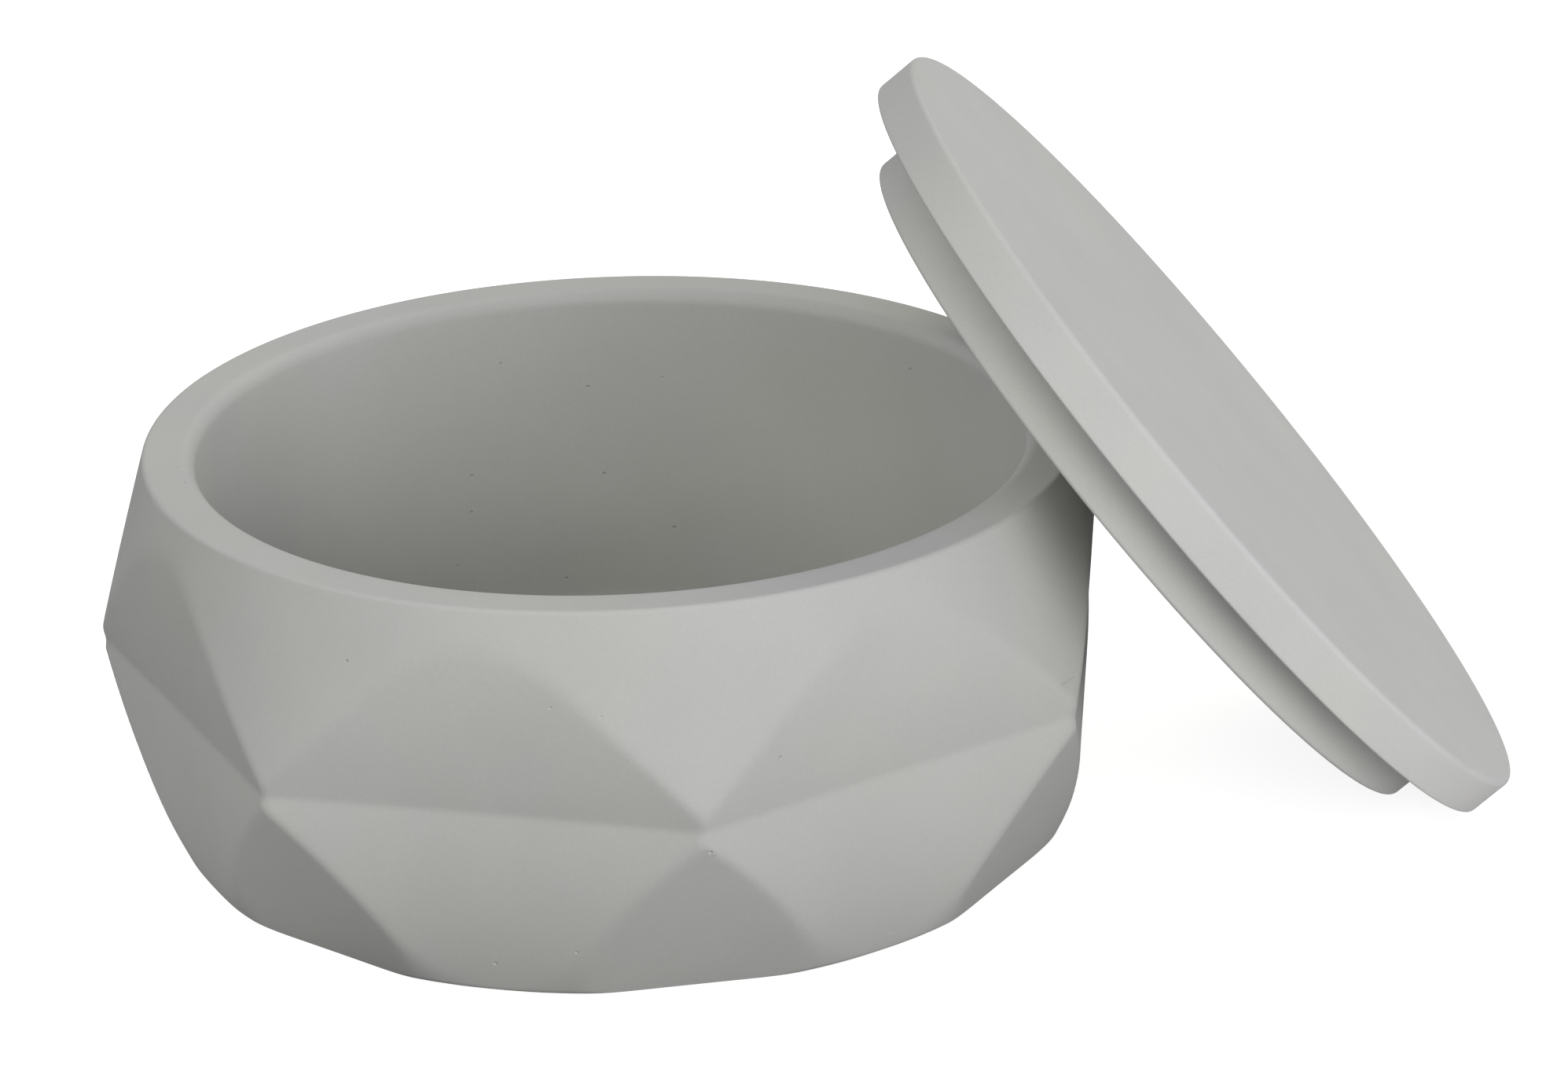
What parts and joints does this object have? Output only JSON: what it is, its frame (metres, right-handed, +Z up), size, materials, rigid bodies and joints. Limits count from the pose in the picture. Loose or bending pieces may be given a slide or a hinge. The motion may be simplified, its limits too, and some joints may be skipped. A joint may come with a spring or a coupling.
{
  "type": "cosmetic jar",
  "caption": "Low round jar of cast mineral with facet pairs round its waist, and a flat lid with a plug leaning on its rim.",
  "frame": {"origin": "centre of the jar's flat base, on the surface it stands on", "axes": "+Z up along the jar's axis, +X the way the lid leans, -Y the side seen in the picture"},
  "size_m": [0.1518, 0.1085, 0.0811],
  "materials": {
    "jar_mineral": "matte, fine cast mineral with a few pinholes",
    "lid_mineral": "matte, fine cast mineral with a few pinholes"
  },
  "bodies": {
    "jar": {"jar_body": "jar_mineral"},
    "lid": {"lid": "lid_mineral"}
  },
  "joints": [
    {"name": "lid_lift", "type": "slide", "parent": "jar", "child": "lid", "axis": [0, 0, 1], "range_m": [0, 0.06]}
  ]
}
